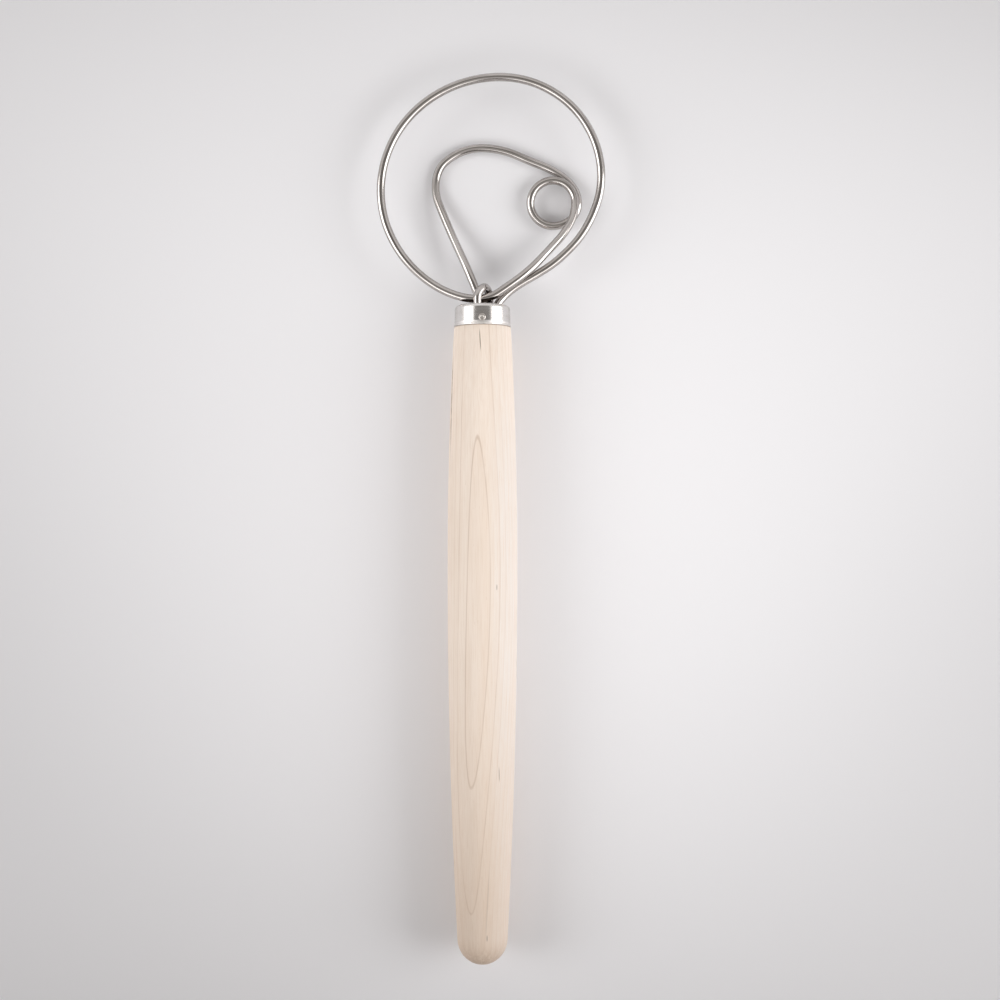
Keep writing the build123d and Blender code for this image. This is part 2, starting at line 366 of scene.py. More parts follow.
# %% [markdown]
# The head of the whisk is one wire. It leaves the handle on the right, makes the big ring
# counterclockwise, crosses the mouth, climbs to the small curl, turns once and comes back as
# the inner loop. Last it is hitched round its own strand and goes into the handle in front.
#
# A bender would write that down as a row of stations, each with a place and a heading, and
# this does the same. Places are shares of the ring, so the row is short and easy to change.
# The columns are across, along, sink, lift and heading: sink is a share of the way down to
# the table, and lift is a share of the distance between two strands that cross. The hitch
# is small, so its rows count from the crossing instead, in steps of that same distance, and
# they say how steeply the wire climbs.

# %% Stations of the wire
HEAD_LENGTH = 79.9
RING_WIDTH = 78.3
RING_OFFSET = 2.9
WIRE_DIAMETER = 2.8
STRAND_GAP = 0.45
CURL_BORE = 12.7
RIGHT_LEG_OFFSET = 4.3
LEG_LENGTH = 32.0
FACE_RECESS = 2.6
BELLY_RADIUS = 11.95

wire_radius = WIRE_DIAMETER / 2
strand_pitch = WIRE_DIAMETER + STRAND_GAP
curl_radius = CURL_BORE / 2 + wire_radius

RING_SHARES = [
    (0.129, 0.050, 0.0, -0.34, 44),
    (0.328, 0.119, 0.0, -0.60, 30),
    (0.620, 0.210, 0.0, -0.37, 40.5),
    (0.856, 0.338, 0.0, -0.15, 59),
    (1.000, 0.564, 0.0, 0.0, 90),
    (0.082, 1.000, 0.0, 0.0, 180),
    (-1.000, 0.503, 0.0, 0.0, 270),
    (-0.698, 0.161, 0.0, 0.18, 315),
    (-0.325, 0.046, 0.0, 0.46, 341),
    (-0.099, 0.030, 0.0, 0.54, 363),
]
STEM_SHARES = [
    (0.227, 0.110, 0.0, 0.42, 36.5),
    (0.612, 0.296, 0.5, 0.58, 48.5),
]
CURL_PLACE_SHARES = (0.568, 0.474)
CURL_LIFT_SHARE = 1.12
CURL_DROP_SHARE = 0.26
CURL_TAIL_SHARES = (0.806, 0.478)
LOOP_SHARES = [
    (0.653, 0.600, 1.0, 0.0, 145),
    (0.257, 0.686, 0.925, 0.0, 156.5),
    (-0.068, 0.722, 0.89, 0.0, 177.7),
    (-0.432, 0.660, 0.992, 0.0, 222.3),
    (-0.508, 0.590, 0.985, 0.0, 259.6),
    (-0.398, 0.369, 0.69, 0.0, 292.8),
    (-0.139, 0.076, 0.0, -0.71, 291),
]
HITCH_SHARES = [
    (-0.10, -0.02, -1.31, 289, 0),
    (0.43, -0.43, -1.37, 360, 0),
    (1.03, 0.14, -1.18, 93, 8),
    (0.54, 1.17, 0.02, 180, 69),
    (-0.25, -0.14, 1.01, 270, 0),
]


def share_place(across, along, sink, lift):
    """The point of a station in millimetres from the mouth."""
    x = RING_OFFSET + across * (RING_WIDTH - WIRE_DIAMETER) / 2
    y = along * (HEAD_LENGTH - wire_radius)
    z = lift * strand_pitch - sink * (BELLY_RADIUS - wire_radius)
    return Vector((x, y, z))


def heading_vector(heading, climb=0):
    """The unit vector of a heading and a climb in degrees."""
    flat = math.cos(math.radians(climb))
    x = flat * math.cos(math.radians(heading))
    y = flat * math.sin(math.radians(heading))
    return Vector((x, y, math.sin(math.radians(climb))))


def shared_stations(rows):
    """Stations whose places are shares of the ring; their climb is left open."""
    return [(share_place(*row[:4]), row[4], None) for row in rows]


def curl_stations():
    """One full turn of the small curl, a quarter at a time, dropping as it goes."""
    stations = []
    for quarter in range(4):
        lift = CURL_LIFT_SHARE - quarter * CURL_DROP_SHARE
        middle = share_place(*CURL_PLACE_SHARES, 1.0, lift)
        heading = 90 * (quarter + 1)
        stations.append((middle - heading_vector(heading + 90) * curl_radius, heading, None))
    tail_lift = CURL_LIFT_SHARE - 4 * CURL_DROP_SHARE
    stations.append((share_place(*CURL_TAIL_SHARES, 1.0, tail_lift), 90, None))
    return stations


def wire_stations():
    """Every station from the end in the right bore to the end in the front bore."""
    leg_end = Vector((0, -LEG_LENGTH, 0))
    face = Vector((0, -FACE_RECESS, 0))
    right_leg = Vector((RIGHT_LEG_OFFSET, 0, 0))
    stations = [(right_leg + leg_end, 90, 0), (right_leg + face, 90, 0)]
    stations += shared_stations(RING_SHARES)
    crossing = stations[-1][0]
    stations += shared_stations(STEM_SHARES)
    stations += curl_stations()
    stations += shared_stations(LOOP_SHARES)
    for x, y, z, heading, climb in HITCH_SHARES:
        stations.append((crossing + Vector((x, y, z)) * strand_pitch, heading, climb))
    front_leg = Vector((stations[-1][0].x, 0, stations[-1][0].z))
    stations += [(front_leg + face, 270, 0), (front_leg + leg_end, 270, 0)]
    return stations


stations = wire_stations()
print("stations of the wire", len(stations))

# %% [markdown]
# Wire bent on a peg takes the form of an arc, so two arcs join each station to the next, and
# they meet without a corner. An arc is then walked in steps of a few degrees. A spline
# through the stations would also be smooth, but it would swell between them.

# %% Walk the wire
STEP_ANGLE = math.radians(3)
STEP_LENGTH = 1.6
STRAIGHT_TURN = 1e-4
EQUAL_DIRECTIONS = 1e-9


def station_directions(stations):
    """The wire's direction at each station; a climb left open follows the neighbours."""
    directions = []
    for index, (point, heading, climb) in enumerate(stations):
        if climb is None:
            before = point - stations[index - 1][0]
            after = stations[index + 1][0] - point
            run_before = before.xy.length
            run_after = after.xy.length
            rise = before.z * run_after / run_before + after.z * run_before / run_after
            climb = math.degrees(math.atan2(rise, run_before + run_after))
        directions.append(heading_vector(heading, climb))
    return directions


def meeting_point(start, start_direction, end, end_direction):
    """Where the two arcs between two stations meet, and the direction there."""
    chord = end - start
    spread = 2 * (1 - start_direction.dot(end_direction))
    reach = chord.dot(start_direction + end_direction)
    if spread < EQUAL_DIRECTIONS:
        handle = chord.length_squared / (2 * reach)
    else:
        handle = (math.sqrt(reach * reach + spread * chord.length_squared) - reach) / spread
    middle = (start + end + (start_direction - end_direction) * handle) / 2
    direction = (end - end_direction * handle) - (start + start_direction * handle)
    return middle, direction.normalized()


def arc_points(start, direction, end):
    """Points along the arc that leaves start in a direction and ends at end."""
    chord = end - start
    ahead = chord.dot(direction)
    aside = chord - direction * ahead
    turn = 2 * math.atan2(aside.length, ahead)
    steps = max(math.ceil(turn / STEP_ANGLE), math.ceil(chord.length / STEP_LENGTH))
    if turn < STRAIGHT_TURN:
        return [start + chord * (step / steps) for step in range(1, steps + 1)]
    radius = chord.length / (2 * math.sin(turn / 2))
    normal = aside.normalized()
    points = []
    for step in range(1, steps + 1):
        angle = turn * step / steps
        forwards = direction * radius * math.sin(angle)
        inwards = normal * radius * (1 - math.cos(angle))
        points.append(start + forwards + inwards)
    return points


directions = station_directions(stations)
wire_points = [stations[0][0]]
for index in range(len(stations) - 1):
    start, end = stations[index][0], stations[index + 1][0]
    middle, middle_direction = meeting_point(start, directions[index], end, directions[index + 1])
    wire_points += arc_points(start, directions[index], middle)
    wire_points += arc_points(middle, middle_direction, end)
wire_length = sum((b - a).length for a, b in zip(wire_points, wire_points[1:]))
print("wire points", len(wire_points), "length in mm", round(wire_length, 2))

# %% [markdown]
# A round wire along a path is a task for Geometry Nodes: a circle is carried along the
# curve. Before that, the tree stores the distance along the path and the circle's own
# position, and both stay on the surface for the steel to read. The radius, the number of
# sides and the material are inputs, so the same tree could make any bent wire.

# %% Geometry Nodes tree of a round wire
def round_wire_tree():
    """A tree that turns a path of edges into a round wire."""
    tree = bpy.data.node_groups.new("round_wire", "GeometryNodeTree")
    tree.interface.new_socket("Path", in_out="INPUT", socket_type="NodeSocketGeometry")
    tree.interface.new_socket("Radius", in_out="INPUT", socket_type="NodeSocketFloat")
    tree.interface.new_socket("Sides", in_out="INPUT", socket_type="NodeSocketInt")
    tree.interface.new_socket("Material", in_out="INPUT", socket_type="NodeSocketMaterial")
    tree.interface.new_socket("Wire", in_out="OUTPUT", socket_type="NodeSocketGeometry")
    given = add(tree, "NodeGroupInput").outputs
    curve = add(tree, "GeometryNodeMeshToCurve", {"Mesh": given["Path"]}).outputs[0]
    distance = add(tree, "GeometryNodeSplineParameter").outputs["Length"]
    marked_curve = add(
        tree,
        "GeometryNodeStoreNamedAttribute",
        {"Geometry": curve, "Name": "along", "Value": distance},
        data_type="FLOAT",
    ).outputs[0]
    circle = add(
        tree,
        "GeometryNodeCurvePrimitiveCircle",
        {"Resolution": given["Sides"], "Radius": given["Radius"]},
    ).outputs[0]
    position = add(tree, "GeometryNodeInputPosition").outputs[0]
    marked_circle = add(
        tree,
        "GeometryNodeStoreNamedAttribute",
        {"Geometry": circle, "Name": "around", "Value": position},
        data_type="FLOAT_VECTOR",
    ).outputs[0]
    tube = add(
        tree,
        "GeometryNodeCurveToMesh",
        {"Curve": marked_curve, "Profile Curve": marked_circle, "Fill Caps": True},
    ).outputs[0]
    whole = add(tree, "GeometryNodeRealizeInstances", {"Geometry": tube}).outputs[0]
    inputs = {"Geometry": whole, "Material": given["Material"]}
    painted = add(tree, "GeometryNodeSetMaterial", inputs).outputs[0]
    add(tree, "NodeGroupOutput", {"Wire": painted})
    return tree


round_wire = round_wire_tree()
print("inputs of the tree", [item.name for item in round_wire.interface.items_tree])

# %% [markdown]
# The tree runs as a modifier on the path, and its result is kept as a plain mesh. Smooth
# shading with a limit keeps the two cut ends flat. The finished wire then takes the place of
# the wire's solid.

# %% Make the wire
WIRE_SIDES = 32
SHARP_ANGLE = math.radians(35)


def keep_result(name, holder, material, node):
    """Turn an object with its modifiers into a finished plain piece."""
    bpy.context.view_layer.update()
    depsgraph = bpy.context.evaluated_depsgraph_get()
    mesh = bpy.data.meshes.new_from_object(holder.evaluated_get(depsgraph))
    bpy.data.objects.remove(holder)
    mesh.name = name
    mesh.materials.clear()
    mesh.materials.append(material)
    mesh.shade_smooth()
    mesh.set_sharp_from_angle(angle=SHARP_ANGLE)
    piece = bpy.data.objects.new(name, mesh)
    bpy.context.scene.collection.objects.link(piece)
    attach(piece, "root")
    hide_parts(node)
    triangles = sum(len(face.vertices) - 2 for face in mesh.polygons)
    print(name, "triangles", triangles)
    return piece


path_mesh = bpy.data.meshes.new("wire_path")
path_edges = [(index, index + 1) for index in range(len(wire_points) - 1)]
path_mesh.from_pydata([at(*point) for point in wire_points], path_edges, [])
path_holder = bpy.data.objects.new("wire_path", path_mesh)
bpy.context.scene.collection.objects.link(path_holder)
modifier = path_holder.modifiers.new("round_wire", "NODES")
modifier.node_group = round_wire
settings = {"Radius": wire_radius * MM, "Sides": WIRE_SIDES, "Material": wire_material}
for item in round_wire.interface.items_tree:
    if item.name in settings:
        modifier[item.identifier] = settings[item.name]
wire = keep_result("bent_wire", path_holder, wire_material, "whisk_wire")

# %% [markdown]
# The ferrule, the nail and the handle are all round things made on a lathe or drawn over a
# form. Each is one outline, radius against height, turned round a line. `turned` does that
# in mesh code, which closes the poles with one point each and lets the faces point outwards.

# %% Turn an outline into a closed round mesh
def turned(name, outline, sides, place):
    """A mesh from a closed outline of radius and height; place puts a ring point in space."""
    work = bmesh.new()
    rings = []
    for radius, height in outline:
        if radius == 0:
            rings.append([work.verts.new(place(0, 0, height))] * sides)
            continue
        ring = []
        for side in range(sides):
            angle = 2 * math.pi * side / sides
            point = place(radius * math.cos(angle), radius * math.sin(angle), height)
            ring.append(work.verts.new(point))
        rings.append(ring)
    for index, ring in enumerate(rings):
        following = rings[(index + 1) % len(rings)]
        if outline[index][0] == 0 and outline[(index + 1) % len(rings)][0] == 0:
            continue
        for side in range(sides):
            beside = (side + 1) % sides
            corners = [ring[side], ring[beside], following[beside], following[side]]
            work.faces.new(list(dict.fromkeys(corners)))
    bmesh.ops.recalc_face_normals(work, faces=work.faces)
    mesh = bpy.data.meshes.new(name)
    work.to_mesh(mesh)
    work.free()
    holder = bpy.data.objects.new(name, mesh)
    bpy.context.scene.collection.objects.link(holder)
    return holder


def along_handle(x, z, y):
    """A point of a piece that is turned round the handle's axis."""
    return at(x, y, z)


def arc_outline(centre_radius, centre_height, radius, start, end, steps):
    """Outline points on an arc, with its angles in degrees from straight outwards."""
    points = []
    for step in range(steps + 1):
        angle = math.radians(start + (end - start) * step / steps)
        across, along = radius * math.cos(angle), radius * math.sin(angle)
        points.append((centre_radius + across, centre_height + along))
    return points


print("points of a quarter round in 3 steps", len(arc_outline(0, 0, 1, 0, 90, 3)))

# %% [markdown]
# The ferrule is thin sheet drawn into a cup with its bottom cut out. It was polished while
# it turned, which leaves faint lines that run round it, and handling has dulled it in spots.
# The lines come from a noise that is stretched flat: fine along Y and smooth round the axis.
#
# Nobody polished the ferrule's inside, so it is rougher there, and its colour there is painted
# dark as shade. Its foot is rubbed dull against the wood. The inside is wherever the surface
# faces the handle's axis, and the foot is told by its place.

# %% Steel of the ferrule and the nail
POLISH_LINES = (120, 9000, 120)
SPOT_SCALE = 420.0
SPOT_ROUGHNESS = 0.08
FOOT_LINE = -6.1
FOOT_BLEND = 0.4
FOOT_ROUGHNESS = 0.22
INSIDE_BLEND = 0.4
INSIDE_ROUGHNESS = 0.35
INSIDE_SHADE_COLOUR = paint(96, 90, 84)
BRIGHT_FERRULE = paint(222, 219, 217)
DULL_FERRULE = paint(208, 204, 200)
BRIGHT_NAIL = paint(184, 179, 174)
DULL_NAIL = paint(158, 152, 146)


def sheet_steel(name, bright, dull, smooth, rough, is_ferrule):
    """Polished sheet with faint lines round the handle's axis and a few dull spots; the ferrule also
    gets a rubbed foot and an inside that is rougher and painted dark as shade.
    """
    material, tree, shader = new_material(name)
    place = add(tree, "ShaderNodeTexCoord").outputs["Object"]
    lines = noise(tree, place, POLISH_LINES, 3.0)
    spots = add(tree, "ShaderNodeTexNoise", {"Vector": place, "Scale": SPOT_SCALE, "Detail": 5.0})
    dullness = smooth_step(tree, spots.outputs[0], 0.42, 0.68)
    colour = mix(tree, dullness, bright, dull)
    roughness = smooth_step(tree, lines, 0.3, 0.7, smooth, rough)
    roughness = calculate(tree, "MULTIPLY_ADD", dullness, SPOT_ROUGHNESS, roughness)
    if is_ferrule:
        foot = at(0, FOOT_LINE, 0).y
        along = parts(tree, place)[1]
        rubbed = smooth_step(tree, along, foot, foot + FOOT_BLEND * MM, FOOT_ROUGHNESS, 0.0)
        roughness = calculate(tree, "ADD", roughness, rubbed)
        from_mouth = calculate_vector(tree, "SUBTRACT", place, tuple(mouth))[0]
        normal = add(tree, "ShaderNodeNewGeometry").outputs["Normal"]
        facing = calculate_vector(tree, "DOT_PRODUCT", normal, from_mouth)["Value"]
        # painted shade: the ferrule's inside is painted dark, and it is also rougher because it was
        # never polished
        unpolished_shaded_inside = smooth_step(tree, facing, -INSIDE_BLEND * MM, INSIDE_BLEND * MM, 1.0, 0.0)
        colour = mix(tree, unpolished_shaded_inside, colour, INSIDE_SHADE_COLOUR)
        roughness = calculate(tree, "MULTIPLY_ADD", unpolished_shaded_inside, INSIDE_ROUGHNESS, roughness)
    dress(tree, shader, colour, roughness, lines, strength=0.08, depth=0.00002)
    shader.inputs["Metallic"].default_value = 1.0
    return material


ferrule_material = sheet_steel("ferrule_steel", BRIGHT_FERRULE, DULL_FERRULE, 0.12, 0.22, True)
nail_material = sheet_steel("nail_steel", BRIGHT_NAIL, DULL_NAIL, 0.28, 0.40, False)
print("nodes of the ferrule's steel", len(ferrule_material.node_tree.nodes))

# %% [markdown]
# The real ferrule has a rounded shoulder at the mouth, edges that catch the light, and a
# thin bead rolled at its foot. All of that is in its outline, walked once round.

# %% Make the ferrule
FERRULE_LENGTH = 7.2
FERRULE_TOP_RADIUS = 9.45
FERRULE_BOTTOM_RADIUS = 9.6
FERRULE_WALL = 0.5
SHOULDER_RADIUS = 1.3
MOUTH_RADIUS = 7.6
BEAD_WIDTH = 0.6
BEAD_RISE = 0.12
EDGE_RADIUS = 0.12
TURNED_SIDES = 160

corner = FERRULE_TOP_RADIUS - SHOULDER_RADIUS
bead_half = BEAD_WIDTH / 2
bead_radius = (bead_half**2 + BEAD_RISE**2) / (2 * BEAD_RISE)
bead_angle = math.degrees(math.asin(bead_half / bead_radius))
bead_middle = FERRULE_BOTTOM_RADIUS + BEAD_RISE - bead_radius
bead_height = bead_half - FERRULE_LENGTH
ferrule_outline = arc_outline(bead_middle, bead_height, bead_radius, -bead_angle, bead_angle, 8)
ferrule_outline += arc_outline(corner, -SHOULDER_RADIUS, SHOULDER_RADIUS, 0, 90, 12)
ferrule_outline += arc_outline(MOUTH_RADIUS + EDGE_RADIUS, -EDGE_RADIUS, EDGE_RADIUS, 90, 180, 5)
ferrule_outline += [(MOUTH_RADIUS, -FERRULE_WALL)]
ferrule_outline += arc_outline(corner, -SHOULDER_RADIUS, SHOULDER_RADIUS - FERRULE_WALL, 90, 0, 8)
ferrule_outline += [(FERRULE_BOTTOM_RADIUS - FERRULE_WALL, -FERRULE_LENGTH)]
ferrule_holder = turned("ferrule_outline", ferrule_outline, TURNED_SIDES, along_handle)
ferrule = keep_result("drawn_ferrule", ferrule_holder, ferrule_material, "ferrule")

# %% [markdown]
# The nail that holds the ferrule shows as a small round mark with a bright rim and a dark
# middle. A low dome with a shallow dish in it gives both. It stands upright, so its outline
# turns round a line that points up, and its short shank goes down into the wood.
#
# The dome is a row of points from its edge to the middle of the dish. The columns are a
# share of the head's radius, and how far the point lies below the head's highest line.

# %% Make the nail
NAIL_PLACE = 4.9
NAIL_LENGTH = 2.6
NAIL_RADIUS = 0.6
NAIL_HEAD_RADIUS = 1.2
NAIL_HEAD_RISE = 0.4
NAIL_HEAD_EDGE = 0.15
NAIL_RIM_INSET = 0.06
NAIL_RIM_RISE = 0.05
NAIL_DOME = [
    (0.95, 0.14),
    (0.85, 0.06),
    (0.74, 0.015),
    (0.64, 0.0),
    (0.53, 0.02),
    (0.42, 0.08),
    (0.30, 0.14),
    (0.16, 0.17),
    (0.0, 0.18),
]
SEAT_CLEARANCE = 0.05
NAIL_SIDES = 64

wall_slope = (FERRULE_BOTTOM_RADIUS - FERRULE_TOP_RADIUS) / FERRULE_LENGTH
nail_seat = FERRULE_TOP_RADIUS + wall_slope * NAIL_PLACE + SEAT_CLEARANCE


def upright_nail(x, y, z):
    """A point of the nail, which stands upright on the ferrule."""
    return at(x, y - NAIL_PLACE, nail_seat + z)


nail_outline = [
    (0, -NAIL_LENGTH),
    (NAIL_RADIUS / 2, -NAIL_LENGTH),
    (NAIL_RADIUS, NAIL_RADIUS - NAIL_LENGTH),
    (NAIL_RADIUS, 0),
    (NAIL_HEAD_RADIUS - NAIL_RIM_INSET, 0),
    (NAIL_HEAD_RADIUS, NAIL_RIM_RISE),
    (NAIL_HEAD_RADIUS, NAIL_HEAD_EDGE),
]
nail_outline += [(NAIL_HEAD_RADIUS * share, NAIL_HEAD_RISE - drop) for share, drop in NAIL_DOME]
nail_holder = turned("nail_outline", nail_outline, NAIL_SIDES, upright_nail)
nail = keep_result("nail_head", nail_holder, nail_material, "ferrule_nail")

# %% [markdown]
# The handle was turned from one stick. Growth rings are nearly flat sheets through such a
# narrow stick, and the swelling belly cuts them in long pointed loops on the top and in
# straight lines on the sides. So the grain isn't painted on: the material works out how high
# each point lies among the sheets, and draws a thin brown line at each ring.
#
# The sheets lean and bend a little along the stick. Two short polynomials say how much, and
# they were chosen so that the loops end where the photograph's do. They count the way along
# the stick in hundreds of millimetres from a point 60 mm below the mouth. All places in the
# wood are in millimetres from the middle of the mouth.

# %% Growth rings of the wood
RING_LEVEL = 11.52
RING_SPACING = 1.35
RING_CURVE = 0.008
LEAN = (-0.090, -0.133, -0.272, 0.232, 0.179)
RISE = (0.0, 0.374, 2.320, 2.043, -0.199, -0.473)
LEAN_START = -60.0
LEAN_UNIT = 100.0
WAVE_HEIGHT = 0.06
LINE_WIDTH = 0.26
LEAST_LINE_WIDTH = 0.012
WAVE_STRETCH = (0.22, 0.03, 0.22)
FADE_STRETCH = (0.5, 0.02, 0.5)


def polynomial(tree, value, factors):
    """The sum of factors times rising powers of the value."""
    result = factors[-1]
    for factor in reversed(factors[:-1]):
        result = calculate(tree, "MULTIPLY_ADD", value, result, factor)
    return result


def growth_rings(tree, place):
    """How strong a ring line is at each point, and how late in its year the wood grew."""
    x, y, z = parts(tree, place)
    down = calculate(tree, "MULTIPLY_ADD", y, 1 / LEAN_UNIT, -LEAN_START / LEAN_UNIT)
    lean = polynomial(tree, down, LEAN)
    bow = product(tree, x, RING_CURVE)
    sideways_rise = product(tree, calculate(tree, "ADD", lean, bow), x)
    rise = calculate(tree, "ADD", sideways_rise, polynomial(tree, down, RISE))
    waves = noise(tree, place, WAVE_STRETCH, 2.0)
    wave = calculate(tree, "MULTIPLY_ADD", waves, WAVE_HEIGHT, -WAVE_HEIGHT / 2)
    height = calculate(tree, "ADD", calculate(tree, "ADD", z, rise), wave)
    ring = calculate(tree, "DIVIDE", calculate(tree, "SUBTRACT", height, RING_LEVEL), RING_SPACING)

    normal = add(tree, "ShaderNodeNewGeometry").outputs["Normal"]
    sheet_lean = calculate(tree, "MULTIPLY_ADD", bow, 2.0, lean)
    sheet_normal = add(tree, "ShaderNodeCombineXYZ", {0: sheet_lean, 2: 1.0}).outputs[0]
    across = calculate_vector(tree, "CROSS_PRODUCT", normal, sheet_normal)[0]
    slope = calculate_vector(tree, "LENGTH", across)["Value"]
    line_width = calculate(tree, "MULTIPLY_ADD", slope, LINE_WIDTH, LEAST_LINE_WIDTH)
    beside = calculate(tree, "ABSOLUTE", calculate(tree, "WRAP", ring, 0.5, -0.5))
    nearness = calculate(tree, "DIVIDE", product(tree, beside, RING_SPACING), line_width)
    number = calculate(tree, "ROUND", ring)
    chance = add(tree, "ShaderNodeTexWhiteNoise", {"W": number}, noise_dimensions="1D").outputs
    line = product(
        tree,
        smooth_step(tree, nearness, 0.15, 1.0, 1.0, 0.0),
        calculate(tree, "MULTIPLY_ADD", chance["Value"], 0.4, 0.6),
        smooth_step(tree, noise(tree, place, FADE_STRETCH, 2.0), 0.35, 0.6, 0.45, 1.0),
        smooth_step(tree, number, -2.6, -1.0, 0.30, 1.0),
    )
    late_wood = smooth_step(tree, calculate(tree, "FRACT", ring), 0.0, 0.55, 1.0, 0.0)
    return line, late_wood


print("growth rings in the handle, about", math.ceil(2 * BELLY_RADIUS / RING_SPACING))

# %% [markdown]
# The wood's colour is a pale ground with thin layers over it: clouds, a painted sheen on the
# right of the neck, late wood, fibres, hairs, flecks and the ring lines. A second row of
# layers paints shade and darkens the tip: painted shade towards the tip, where less lamp light
# falls; a darker very tip; a thin band of painted shade under the ferrule's foot; and painted
# shade on the end of the wood in the mouth.
#
# The last are single flaws, each a soft streak on the top of the handle. The columns are
# across, along, width, length, turn and strength. One short crack at the left of the neck
# is no streak, because it lies on the side: it follows a line that slowly climbs.

# %% Colour of the wood
CLOUD_STRETCH = (0.12, 0.02, 0.12)
FIBRE_STRETCH = (1.9, 0.035, 1.9)
HAIR_STRETCH = (5.0, 0.09, 5.0)
FLECK_STRETCH = (2.6, 0.5, 2.6)
GROUND = paint(240, 226, 213)
CLOUD = paint(234, 219, 205)
PAINTED_SHEEN = paint(222, 215, 210)
LATE_WOOD = paint(228, 207, 189)
FIBRE = paint(226, 207, 190)
HAIR = paint(218, 194, 172)
FLECK = paint(205, 180, 158)
RING_LINE = paint(186, 158, 134)
TIP_SHADE = paint(206, 178, 152)
TIP_DARKENING = paint(172, 144, 120)
FERRULE_FOOT_SHADE = paint(150, 124, 104)
MOUTH_SHADE = paint(84, 70, 58)
FLAW = paint(112, 86, 66)
CRACK = paint(112, 84, 66)
CRACK_HEIGHT = 1.6
CRACK_CLIMB = 0.045
FLAWS = [
    (-0.68, -12.6, 0.38, 9.2, 0.055, 0.85),
    (4.95, -95.5, 0.36, 2.6, 0.0, 0.65),
    (5.72, -158.3, 0.34, 6.5, 0.03, 0.55),
    (1.65, -213.6, 0.42, 2.8, 0.0, 0.6),
    (1.80, -202.4, 0.50, 30.0, -0.053, 0.17),
]


def lay(tree, colour, layers):
    """Thin layers of colour laid over a ground, each in its own share."""
    for share, tint in layers:
        colour = mix(tree, share, colour, tint)
    return colour


def sawn_colour_and_sheen(tree, place, fibre, line, late_wood):
    """The colour that the wood has all through, and a painted sheen on the right of the neck."""
    x, y, _ = parts(tree, place)
    cloud = smooth_step(tree, noise(tree, place, CLOUD_STRETCH, 3.0), 0.3, 0.7)
    hair = smooth_step(tree, noise(tree, place, HAIR_STRETCH, 3.0), 0.48, 0.70, 0.0, 0.32)
    fleck = smooth_step(tree, noise(tree, place, FLECK_STRETCH, 2.0), 0.66, 0.78)
    neck = smooth_step(tree, y, -60.0, -12.0, 0.8, 0.3)
    layers = [
        (cloud, CLOUD),
        # painted sheen: the right side of the neck is paler, as if lit by the right lamp
        (product(tree, smooth_step(tree, x, 0.0, 9.0), neck), PAINTED_SHEEN),
        (product(tree, late_wood, 0.20), LATE_WOOD),
        (smooth_step(tree, fibre, 0.35, 0.75, 0.0, 0.35), FIBRE),
        (hair, HAIR),
        (product(tree, fleck, 0.25), FLECK),
        (product(tree, line, 0.55), RING_LINE),
    ]
    return lay(tree, GROUND, layers)


def shaded_colour(tree, place, fibre, colour):
    """The colour with painted shade towards the tip, under the ferrule's foot and in the mouth, and
    a darker very tip.
    """
    y = parts(tree, place)[1]
    tip = smooth_step(tree, y, -224.5, -213.0, 0.45, 0.0)
    # the very tip is darker, in streaks along the fibres
    tip_darkening = product(tree, tip, smooth_step(tree, fibre, 0.3, 0.6, 0.5, 1.0))
    layers = [
        # painted shade: the wood grows darker towards the tip, where less lamp light falls
        (smooth_step(tree, y, -224.0, -105.0, 0.36, 0.0), TIP_SHADE),
        (tip_darkening, TIP_DARKENING),
        # painted shade: a thin dark band on the wood just under the ferrule's foot
        (smooth_step(tree, y, -7.75, -7.35, 0.0, 0.5), FERRULE_FOOT_SHADE),
        # painted shade: the end of the wood inside the ferrule's mouth is painted dark
        (smooth_step(tree, y, -6.0, -3.6, 0.0, 0.9), MOUTH_SHADE),
    ]
    return lay(tree, colour, layers)


def streak(tree, place, across, along, width, length, turn):
    """A soft spot, long in the direction of the grain."""
    settings = {"Vector": place, "Location": (across, along, 0), "Rotation": (0, 0, turn)}
    moved = add(tree, "ShaderNodeMapping", settings, vector_type="TEXTURE").outputs[0]
    scaled = calculate_vector(tree, "MULTIPLY", moved, (2 / width, 2 / length, 0.0))[0]
    distance = calculate_vector(tree, "LENGTH", scaled)["Value"]
    return smooth_step(tree, distance, 0.45, 1.0, 1.0, 0.0)


def flawed_colour(tree, place, colour):
    """The colour with small dark flaws on the top and a crack at the left of the neck."""
    x, y, z = parts(tree, place)
    on_top = smooth_step(tree, z, 0.0, 2.0)
    for *shape, strength in FLAWS:
        share = product(tree, streak(tree, place, *shape), on_top, strength)
        colour = mix(tree, share, colour, FLAW)
    ragged_inputs = {"W": y, "Scale": 0.3, "Detail": 3.0}
    ragged = add(tree, "ShaderNodeTexNoise", ragged_inputs, noise_dimensions="1D").outputs[0]
    climb = calculate(tree, "MULTIPLY_ADD", y, CRACK_CLIMB, z)
    beside = calculate(tree, "ABSOLUTE", calculate(tree, "SUBTRACT", climb, CRACK_HEIGHT))
    crack = product(
        tree,
        smooth_step(tree, beside, 0.1, 0.6, 1.0, 0.0),
        smooth_step(tree, x, -6.0, -5.0, 1.0, 0.0),
        smooth_step(tree, y, -24.0, -15.0, 1.0, 0.0),
        smooth_step(tree, y, -54.0, -38.0, 0.0, 1.0),
        smooth_step(tree, ragged, 0.3, 0.6, 0.55, 0.95),
    )
    return mix(tree, crack, colour, CRACK)


